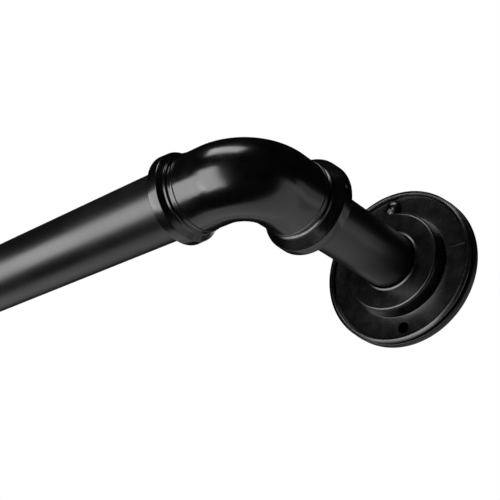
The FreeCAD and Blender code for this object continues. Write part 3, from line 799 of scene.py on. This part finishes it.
class CURTAINROD_OT_wall_plates(bpy.types.Operator):
    """The two round steel plates behind the flanges"""
    bl_idname = "curtain_rod.wall_plates"
    bl_label = "Wall plates"

    RECESS_ROUND = 0.3 * MM
    LEDGE_ROUND = 0.2 * MM
    BACK_ROUND = 0.25 * MM
    # the hollow of the plate's back: its two edges as shares of the plate's radius, its depth,
    # and where the profile starts from the middle
    RECESS = 0.36
    LEDGE = 0.38
    RELIEF = 0.4 * MM
    CENTRE = 2 * MM

    def execute(self, context):
        sizes = context.scene.rod_flanges
        roomward = -TO_WALL
        outline = [(self.CENTRE, self.RELIEF)] + rounded([
            (PLATE_RADIUS * self.RECESS, self.RELIEF, self.RECESS_ROUND),
            (PLATE_RADIUS * self.LEDGE, 0, self.LEDGE_ROUND),
            (PLATE_RADIUS, 0, self.BACK_ROUND),
            (PLATE_RADIUS, PLATE_FRONT, sizes.plate_edge),
            (self.CENTRE, PLATE_FRONT, 0),
        ])
        piece = turned("right_wall_plate_disc", outline, sizes.segments, roomward, ring=False)
        for height in (SCREW_RING, -SCREW_RING):
            mouth = Vector((0, 0, height))
            drilled(piece, sizes.hole_radius, sizes.hole_edge, mouth, TO_WALL, 2 * PLATE_FRONT)
        both_ends(piece, "right_wall_plate", "plate")
        return {"FINISHED"}


class CURTAINROD_OT_wall_screws(bpy.types.Operator):
    """The two wall screws: pan head with a cross recess, shank, thread and point"""
    bl_idname = "curtain_rod.wall_screws"
    bl_label = "Wall screws"

    SEGMENTS = 64
    DOME_STEPS = 16
    # the dome stops short of its pole, which is then closed with a small face
    DOME_END = 89
    SEAT_ROUND = 0.15 * MM
    HEAD_ROUND = 0.25 * MM
    # how far the shank runs on into the thread, and the cross's floor as a share of its top
    OVERLAP = 0.3 * MM
    CROSS_FLOOR = 0.45
    HEAD_TURN = 0.3

    def head(self, sizes, seat):
        """Head and shank along Z, the head's seat at 0."""
        top = HEAD_TOP - seat
        rise = top - sizes.head_edge
        swing = (HEAD_RADIUS ** 2 + rise ** 2) / (2 * rise)
        reach = math.degrees(math.asin(HEAD_RADIUS / swing))
        dome = arc((0, top - swing), swing, 90 - reach, self.DOME_END, self.DOME_STEPS)
        outline = [(sizes.shank_radius, -sizes.thread_top - self.OVERLAP), (sizes.shank_radius, 0)]
        under = rounded([
            (sizes.shank_radius, 0, 0),
            (HEAD_RADIUS, 0, self.SEAT_ROUND),
            (HEAD_RADIUS, sizes.head_edge, self.HEAD_ROUND),
            (dome[1][0], dome[1][1], 0),
        ])[1:-1]
        return turned("head", outline + under + dome[2:], self.SEGMENTS, ring=False)

    def cross(self, sizes, top):
        """A cutter for the cross, which narrows to its floor."""
        cutter = block((0, 0, top), (sizes.cross_width, sizes.cross_width, 2 * sizes.cross_depth))
        arm = (sizes.cross_span - sizes.cross_width) / 2
        for side in (ALONG, -ALONG, TO_WALL, -TO_WALL):
            def outermost(face):
                aside = face.center - side * face.center.dot(side)
                return face.normal.dot(side) > 0.9 and aside.xy.length < sizes.cross_width / 4

            choose(cutter, "FACE", outermost)
            bpy.ops.mesh.extrude_region_move(TRANSFORM_OT_translate={"value": side * arm})
        low = top - sizes.cross_depth
        choose(cutter, "VERT", lambda corner: corner.co.z < low + CLOSE)
        bpy.ops.transform.resize(value=(self.CROSS_FLOOR, self.CROSS_FLOOR, 1),
                                 center_override=(0, 0, low))
        return tidy(cutter)

    def execute(self, context):
        sizes = context.scene.rod_fasteners
        seat = context.scene.rod_flanges.face
        screw = combine(self.head(sizes, seat), self.cross(sizes, HEAD_TOP - seat), "DIFFERENCE")
        size = SCREW_END + seat - sizes.thread_top
        bar = threaded("bar", sizes.thread_radius, sizes.root_radius, sizes.pitch, size,
                       sizes.point)
        settle(bar, Matrix.Translation((0, 0, -sizes.thread_top)))
        screw = combine(screw, bar, "UNION")
        screw.name = screw.data.name = "right_wall_screw_turning"
        facing = Matrix.Rotation(math.pi / 2, 4, "X")
        places = {side: Vector((box_middle(f"{side}_wall_screw").x, -seat, SCREW_RING))
                  for side in ("right", "left")}
        copy = copied(screw, "left_wall_screw_turning", Matrix.Translation(places["left"]) @ facing)
        turned_head = facing @ Matrix.Rotation(self.HEAD_TURN, 4, "Z")
        settle(screw, Matrix.Translation(places["right"]) @ turned_head)
        for piece, side in ((screw, "right"), (copy, "left")):
            show(piece, f"{side}_wall_screw", BODY_OF[side], "screw")
        return {"FINISHED"}


class CURTAINROD_OT_set_screws(bpy.types.Operator):
    """The six set screws with hexagon sockets"""
    bl_idname = "curtain_rod.set_screws"
    bl_label = "Set screws"

    SEGMENTS = 48
    # the pitch is for this radius, and other radii have it in proportion; the thread's depth
    # is a share of the pitch
    PITCH_RADIUS = 1.5 * MM
    THREAD_DEPTH = 0.6
    # shares of the screw's radius
    BLANK = 1.01
    CUP = 0.55
    CUP_HEIGHT = 0.5
    EDGE = 0.2
    MOUTH = 0.1
    FLOOR = 0.2
    # the hexagon at its floor and its mouth, as shares of its width
    NARROW = 0.6
    FLARE = 1.25

    def execute(self, context):
        sizes = context.scene.rod_fasteners
        kinds = (("rod_set_screw", TO_WALL, TO_WALL), ("arm_set_screw", -ALONG, ALONG),
                 ("flange_set_screw", -ALONG, ALONG))
        for kind, *outwards in kinds:
            for side, outward in zip(("right", "left"), outwards):
                name = f"{side}_{kind}"
                size = box_size(name)
                long = max(size.x, size.y)
                screw = self.grub(sizes, name + "_turning", size.z / 2, long)
                turn = UPRIGHT.rotation_difference(outward).to_matrix().to_4x4()
                top = box_middle(name) + outward * long / 2
                settle(screw, Matrix.Translation(top) @ turn)
                show(screw, name, BODY_OF[side], "steel")
        return {"FINISHED"}

    def grub(self, sizes, name, radius, long):
        """A threaded bar with a broken top edge, a cup point and a hexagon socket."""
        root = radius - self.THREAD_DEPTH * sizes.set_pitch
        screw = threaded(name, radius, root, sizes.set_pitch * radius / self.PITCH_RADIUS, long)
        edge = self.EDGE * radius
        outside = self.BLANK * radius
        blank = [(self.CUP * radius, -long), (outside, self.CUP_HEIGHT * radius - long),
                 (outside, -edge), (outside - edge, 0)]
        screw = combine(screw, turned("blank", blank, self.SEGMENTS, ring=False), "INTERSECT")
        key = radius / math.sqrt(3)
        mouth = self.MOUTH * radius
        floor = -sizes.key_depth - self.FLOOR * radius
        socket = [(key * self.NARROW, floor), (key, -sizes.key_depth), (key, -mouth),
                  (key * self.FLARE, mouth)]
        return combine(screw, turned("socket", socket, 6, ring=False), "DIFFERENCE")


class CURTAINROD_OT_fittings(bpy.types.Operator):
    """The plastic mouth ring, glide sleeve and reducer bush"""
    bl_idname = "curtain_rod.fittings"
    bl_label = "Plastic fittings"

    RING_SEGMENTS = 128
    SEGMENTS = 96
    # rounds of the mouldings, from fine to soft
    FINE = 0.1 * MM
    SLIGHT = 0.15 * MM
    SMALL = 0.2 * MM
    MIDDLING = 0.25 * MM
    SOFT = 0.3 * MM
    LEAD_IN = 0.4 * MM
    WAIST = 0.12 * MM

    def moulding(self, name, corners, segments):
        """A plastic turning about the rod's axis, from its node's lowest X."""
        start = Vector((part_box(name)[0].x, CORNER.y, 0))
        return turned(name + "_moulding", rounded(corners), segments, ALONG, start)

    def execute(self, context):
        sizes = context.scene.rod_fittings
        size = box_size("mouth_ring")
        lip = size.z / 2
        bore = THIN_RADIUS + sizes.gap
        insert = ROD_RADIUS - context.scene.rod_tubes.wall - sizes.gap
        ring = self.moulding("mouth_ring", [
            (bore, 0, self.MIDDLING),
            (lip, 0, sizes.lip_edge),
            (lip, sizes.lip, sizes.lip_edge),
            (insert, sizes.lip, 0),
            (insert, size.x, self.LEAD_IN),
            (bore, size.x, self.SLIGHT),
        ], self.RING_SEGMENTS)
        pieces = (("mouth_ring", ring, "fixed_end"),
                  ("glide_sleeve", self.sleeve(sizes), "slider"),
                  ("left_reducer_bush", self.bush(context.scene), "sliding_end"))
        for name, piece, body in pieces:
            show(piece, name, body, "plastic")
        return {"FINISHED"}

    def sleeve(self, sizes):
        """A split ring with a shallow waist, so that only its two ends rub."""
        size = box_size("glide_sleeve")
        long = size.x
        outside = size.y / 2
        inside = THIN_RADIUS + sizes.gap
        waist = outside - self.WAIST
        sleeve = self.moulding("glide_sleeve", [
            (inside, 0, self.FINE),
            (outside, 0, self.SMALL),
            (outside, long * 0.25, self.SOFT),
            (waist, long * 0.3, self.SOFT),
            (waist, long * 0.7, self.SOFT),
            (outside, long * 0.75, self.SOFT),
            (outside, long, self.SMALL),
            (inside, long, self.FINE),
        ], self.SEGMENTS)
        top = box_middle("glide_sleeve") + Vector((0, 0, outside))
        return combine(sleeve, block(top, (long * 2, sizes.slit, outside)), "DIFFERENCE")

    def bush(self, scene):
        """Fills the left elbow's wide socket round the thin tube."""
        size = box_size("left_reducer_bush")
        long = size.x
        outside = size.z / 2
        inside = THIN_RADIUS + scene.rod_elbows.fit
        bush = self.moulding("left_reducer_bush", [
            (inside, 0, self.SLIGHT),
            (outside, 0, self.SOFT),
            (outside, long, self.SOFT),
            (inside, long, self.SLIGHT),
        ], self.SEGMENTS)
        screw = "left_rod_set_screw"
        radius = box_size(screw).z / 2 + scene.rod_fasteners.hole_gap
        mouth = Vector((box_middle(screw).x, CORNER.y + outside, 0))
        return drilled(bush, radius, self.FINE, mouth, TO_WALL, outside)


def direction(around, above):
    """The way that points round from the room side towards +X, then up, by these angles."""
    flat = math.cos(above)
    return Vector((math.sin(around) * flat, -math.cos(around) * flat, math.sin(above)))


class CURTAINROD_OT_studio(bpy.types.Operator):
    """Pale floor, white surroundings, light panels and the camera"""
    bl_idname = "curtain_rod.studio"
    bl_label = "Studio"

    # name, degrees round from the room side towards +X, degrees up, distance, width, height, glow
    SOFTBOXES = (
        ("key", -10, -16, 1.2, 0.65, 1.28, 7),
        ("wing", -34.5, -15, 1.2, 0.4, 0.94, 6.5),
        ("tip", -52, -12, 1.2, 0.4, 0.69, 5.8),
        ("top", 4, 58, 1.2, 0.75, 0.42, 6.5),
        ("back", 180, -2, 1.5, 1.1, 1.1, 0.7),
        ("rear", 196, 23, 1.5, 0.4, 0.4, 1.5),
        ("right", 133, -12, 1.5, 1.2, 0.7, 0.55),
    )
    # name, nearest and farthest place along Y, glow: pale panels lying below the rod
    TABLES = (("near", -0.04, 0.4, 0.95), ("far", 0.4, 1.05, 0.5))
    TABLE_ASIDE = 0.2
    # strength of the surroundings in reflections, on matt surfaces and to the camera, and the
    # gap between the wall and the shade in a screw hole
    DARK = 0.006
    PALE = 0.9
    WHITE = 1
    SHADE_GAP = 0.3 * MM
    FLOOR_SEGMENTS = 96

    def panel(self, name, spot, turn, width, height, glow):
        """A light panel that looks as bright whatever its size, and that the camera doesn't see."""
        deselect()
        bpy.ops.object.light_add(type="AREA", location=spot, rotation=turn)
        lamp = bpy.context.object
        lamp.name = name
        lamp.data.shape = "RECTANGLE"
        lamp.data.size = width
        lamp.data.size_y = height
        lamp.data.energy = glow * math.pi * width * height
        lamp.visible_camera = False

    def softbox(self, name, around, above, distance, width, height, glow):
        """A panel that faces the corner of the rod."""
        toward = direction(math.radians(around), math.radians(above))
        turn = toward.to_track_quat("Z", "Y").to_euler()
        self.panel(f"softbox_{name}", CORNER + toward * distance, turn, width, height, glow)

    def table(self, setting, name, near, far, glow):
        """A panel that lies below the rod and faces up."""
        spot = (CORNER.x - self.TABLE_ASIDE, (near + far) / 2, -setting.table_drop)
        self.panel(f"table_{name}", spot, (math.pi, 0, 0), setting.table_width, far - near, glow)

    def execute(self, context):
        scene = context.scene
        setting = scene.rod_studio
        for lamp in self.SOFTBOXES:
            self.softbox(*lamp)
        for table in self.TABLES:
            self.table(setting, *table)
        self.floor(setting)
        self.shade(scene.rod_flanges)
        self.surroundings(scene)
        self.camera(scene, setting)
        return {"FINISHED"}

    def disc(self, name, radius, segments, spot, turn, colour, roughness, specular):
        """A round patch of the stage in a plain colour."""
        deselect()
        bpy.ops.mesh.primitive_circle_add(vertices=segments, radius=radius, fill_type="NGON",
                                          location=spot, rotation=turn)
        patch = bpy.context.object
        patch.name = name
        material = bpy.data.materials.new(name)
        material.use_nodes = True
        shader = material.node_tree.nodes["Principled BSDF"]
        shader.inputs["Base Color"].default_value = (*colour, 1)
        shader.inputs["Roughness"].default_value = roughness
        shader.inputs["Specular IOR Level"].default_value = specular
        patch.data.materials.append(material)
        return patch

    def floor(self, setting):
        spot = (CORNER.x, CORNER.y, -setting.floor_drop)
        floor = self.disc("studio_floor", setting.floor_radius, self.FLOOR_SEGMENTS, spot,
                          (0, 0, 0), colour=(0.82, 0.82, 0.81), roughness=0.9, specular=0.5)
        floor.visible_glossy = False

    def shade(self, sizes):
        """Painted shade: a dark disc behind the open screw hole of the right-hand plate, put where a
        wall would lie in shadow.
        """
        spot = (CORNER.x, -self.SHADE_GAP, -SCREW_RING)
        # painted shadow: a near-black, matt disc that fills the open hole with shade
        self.disc("studio_wall_shade", sizes.hole_radius, DRILL_SEGMENTS, spot,
                  (math.pi / 2, 0, 0), colour=(0.001, 0.001, 0.001), roughness=1, specular=0)

    def surroundings(self, scene):
        """White to the camera, pale on matt surfaces, dark in reflections."""
        world = bpy.data.worlds.new("Studio")
        scene.world = world
        world.use_nodes = True
        tree = world.node_tree
        tree.nodes.clear()
        path = tree.nodes.new("ShaderNodeLightPath")
        dark, pale, white = [
            add_node(tree, "ShaderNodeBackground", Color=(1, 1, 1, 1), Strength=strength).outputs[0]
            for strength in (self.DARK, self.PALE, self.WHITE)]
        soft = add_node(tree, "ShaderNodeMixShader", Fac=path.outputs["Is Glossy Ray"], at1=pale,
                        at2=dark)
        mix = add_node(tree, "ShaderNodeMixShader", Fac=path.outputs["Is Camera Ray"],
                       at1=soft.outputs[0], at2=white)
        add_node(tree, "ShaderNodeOutputWorld", Surface=mix.outputs[0])
        scene.view_settings.view_transform = "Standard"

    def camera(self, scene, setting):
        deselect()
        ahead = -direction(setting.azimuth, setting.elevation)
        across = Vector((math.cos(setting.azimuth), math.sin(setting.azimuth), 0))
        up = across.cross(ahead)
        spot = CORNER - ahead * setting.distance - up * setting.drop - across * setting.aside
        bpy.ops.object.camera_add(location=spot, rotation=ahead.to_track_quat("-Z", "Y").to_euler())
        camera = bpy.context.object
        camera.data.lens = setting.lens
        camera.data.sensor_width = 36
        camera.data.clip_start = 0.01
        scene.camera = camera


class CURTAINROD_PT_panel(bpy.types.Panel):
    """Lists the steps that build the rod"""
    bl_idname = "CURTAINROD_PT_panel"
    bl_label = "Curtain Rod"
    bl_space_type = "VIEW_3D"
    bl_region_type = "UI"
    bl_category = "Curtain Rod"

    def draw(self, context):
        for step in STEPS:
            self.layout.operator(step.bl_idname)
        for title in GROUPS:
            column = self.layout.column(heading=title)
            settings = getattr(context.scene, title)
            for name in settings.__annotations__:
                column.prop(settings, name)


STEPS = (
    CURTAINROD_OT_tubes,
    CURTAINROD_OT_elbows,
    CURTAINROD_OT_flanges,
    CURTAINROD_OT_wall_plates,
    CURTAINROD_OT_wall_screws,
    CURTAINROD_OT_set_screws,
    CURTAINROD_OT_fittings,
    CURTAINROD_OT_studio,
)
GROUPS = {
    "rod_tubes": TubeSizes,
    "rod_elbows": ElbowSizes,
    "rod_flanges": FlangeSizes,
    "rod_fasteners": FastenerSizes,
    "rod_fittings": FittingSizes,
    "rod_finishes": Finishes,
    "rod_studio": Studio,
}


def register():
    for made in (*GROUPS.values(), *STEPS, CURTAINROD_PT_panel):
        bpy.utils.register_class(made)
    for name, group in GROUPS.items():
        setattr(bpy.types.Scene, name, PointerProperty(type=group))


def unregister():
    for name in GROUPS:
        delattr(bpy.types.Scene, name)
    for made in (CURTAINROD_PT_panel, *reversed(STEPS), *GROUPS.values()):
        bpy.utils.unregister_class(made)


def main():
    register()
    for step in STEPS:
        name = step.bl_idname.split(".")[1]
        getattr(bpy.ops.curtain_rod, name)()


if __name__ == "__main__":
    main()
